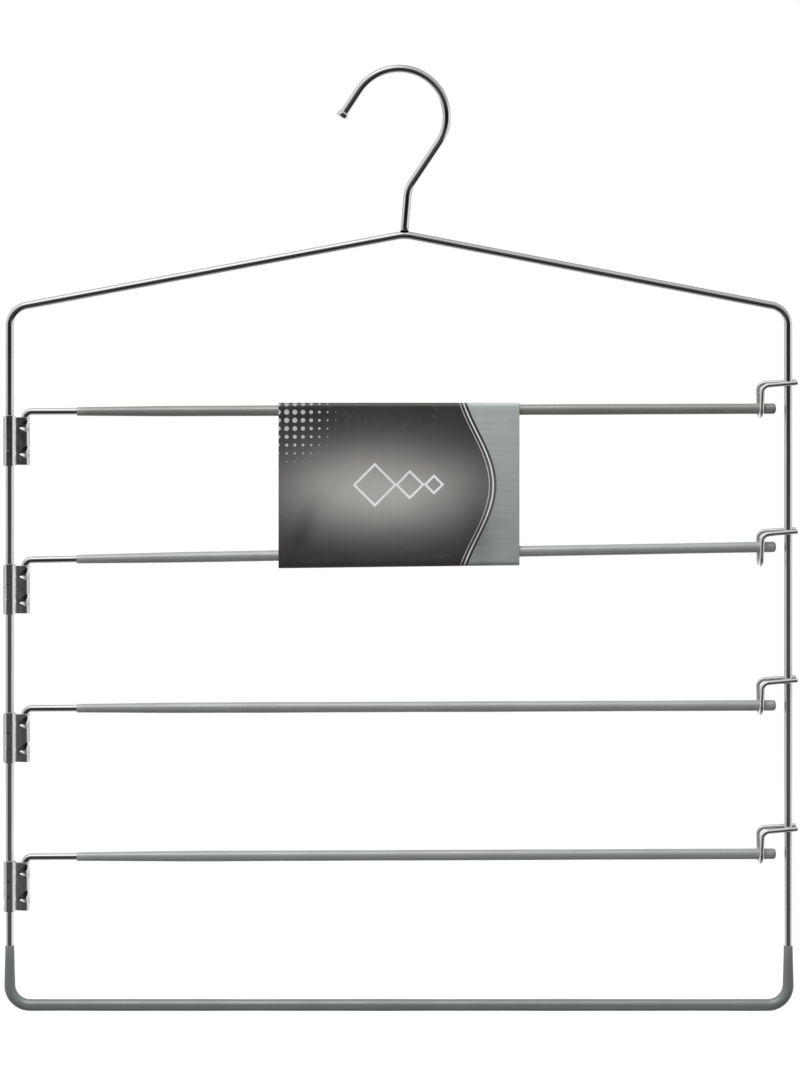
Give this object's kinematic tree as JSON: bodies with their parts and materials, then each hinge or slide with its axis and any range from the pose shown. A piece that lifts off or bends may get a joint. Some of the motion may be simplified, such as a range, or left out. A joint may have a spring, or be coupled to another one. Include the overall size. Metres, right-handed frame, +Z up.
{
  "type": "multi-tier trouser hanger",
  "caption": "Flat wire trouser hanger: rail hook, stacked coated bars that swing out on side hinges, wire catches for their free ends and a folded card round the upper bars.",
  "frame": {"origin": "rail seat: the inside of the top of the hook's bow, where the hanger rests on a wardrobe rail", "axes": "+Z up, +X along the bars from the hinges to the catches, +Y away from the viewer, through the hanger's flat depth"},
  "size_m": [0.3886, 0.0104, 0.4636],
  "materials": {
    "frame_chrome": "bright chrome plate on drawn steel wire",
    "arm_chrome": "bright chrome plate on drawn steel wire",
    "bracket_chrome": "bright chrome plate on folded steel sheet",
    "catch_chrome": "bright chrome plate on thin steel wire",
    "grey_coat": "satin grey PVC coat",
    "printed_card": "semi-gloss printed card"
  },
  "bodies": {
    "frame": {"frame_loop": "frame_chrome", "hook": "frame_chrome", "bottom_bar_sleeve": "grey_coat", "hinge_bracket_1": "bracket_chrome", "hinge_bracket_2": "bracket_chrome", "hinge_bracket_3": "bracket_chrome", "hinge_bracket_4": "bracket_chrome", "arm_catch_1": "catch_chrome", "arm_catch_2": "catch_chrome", "arm_catch_3": "catch_chrome", "arm_catch_4": "catch_chrome"},
    "arm_1": {"swing_arm_1": "arm_chrome", "arm_sleeve_1": "grey_coat"},
    "arm_2": {"swing_arm_2": "arm_chrome", "arm_sleeve_2": "grey_coat"},
    "arm_3": {"swing_arm_3": "arm_chrome", "arm_sleeve_3": "grey_coat"},
    "arm_4": {"swing_arm_4": "arm_chrome", "arm_sleeve_4": "grey_coat"},
    "card": {"sales_card": "printed_card"}
  },
  "joints": [
    {"name": "arm_1_swing", "type": "hinge", "parent": "frame", "child": "arm_1", "pos_m": [-0.1834, 0, -0.166], "axis": [0, 0, 1], "range_deg": [-145, 145]},
    {"name": "arm_2_swing", "type": "hinge", "parent": "frame", "child": "arm_2", "pos_m": [-0.1834, 0, -0.2387], "axis": [0, 0, 1], "range_deg": [-145, 145]},
    {"name": "arm_3_swing", "type": "hinge", "parent": "frame", "child": "arm_3", "pos_m": [-0.1834, 0, -0.3114], "axis": [0, 0, 1], "range_deg": [-145, 145]},
    {"name": "arm_4_swing", "type": "hinge", "parent": "frame", "child": "arm_4", "pos_m": [-0.1834, 0, -0.3841], "axis": [0, 0, 1], "range_deg": [-145, 145]},
    {"name": "card_slide", "type": "slide", "parent": "arm_1", "child": "card", "axis": [1, 0, 0.0041], "range_m": [-0.095, 0.11]}
  ],
  "couplings": [
    {"joint": "arm_2_swing", "follows": "arm_1_swing", "ratio": 1}
  ]
}
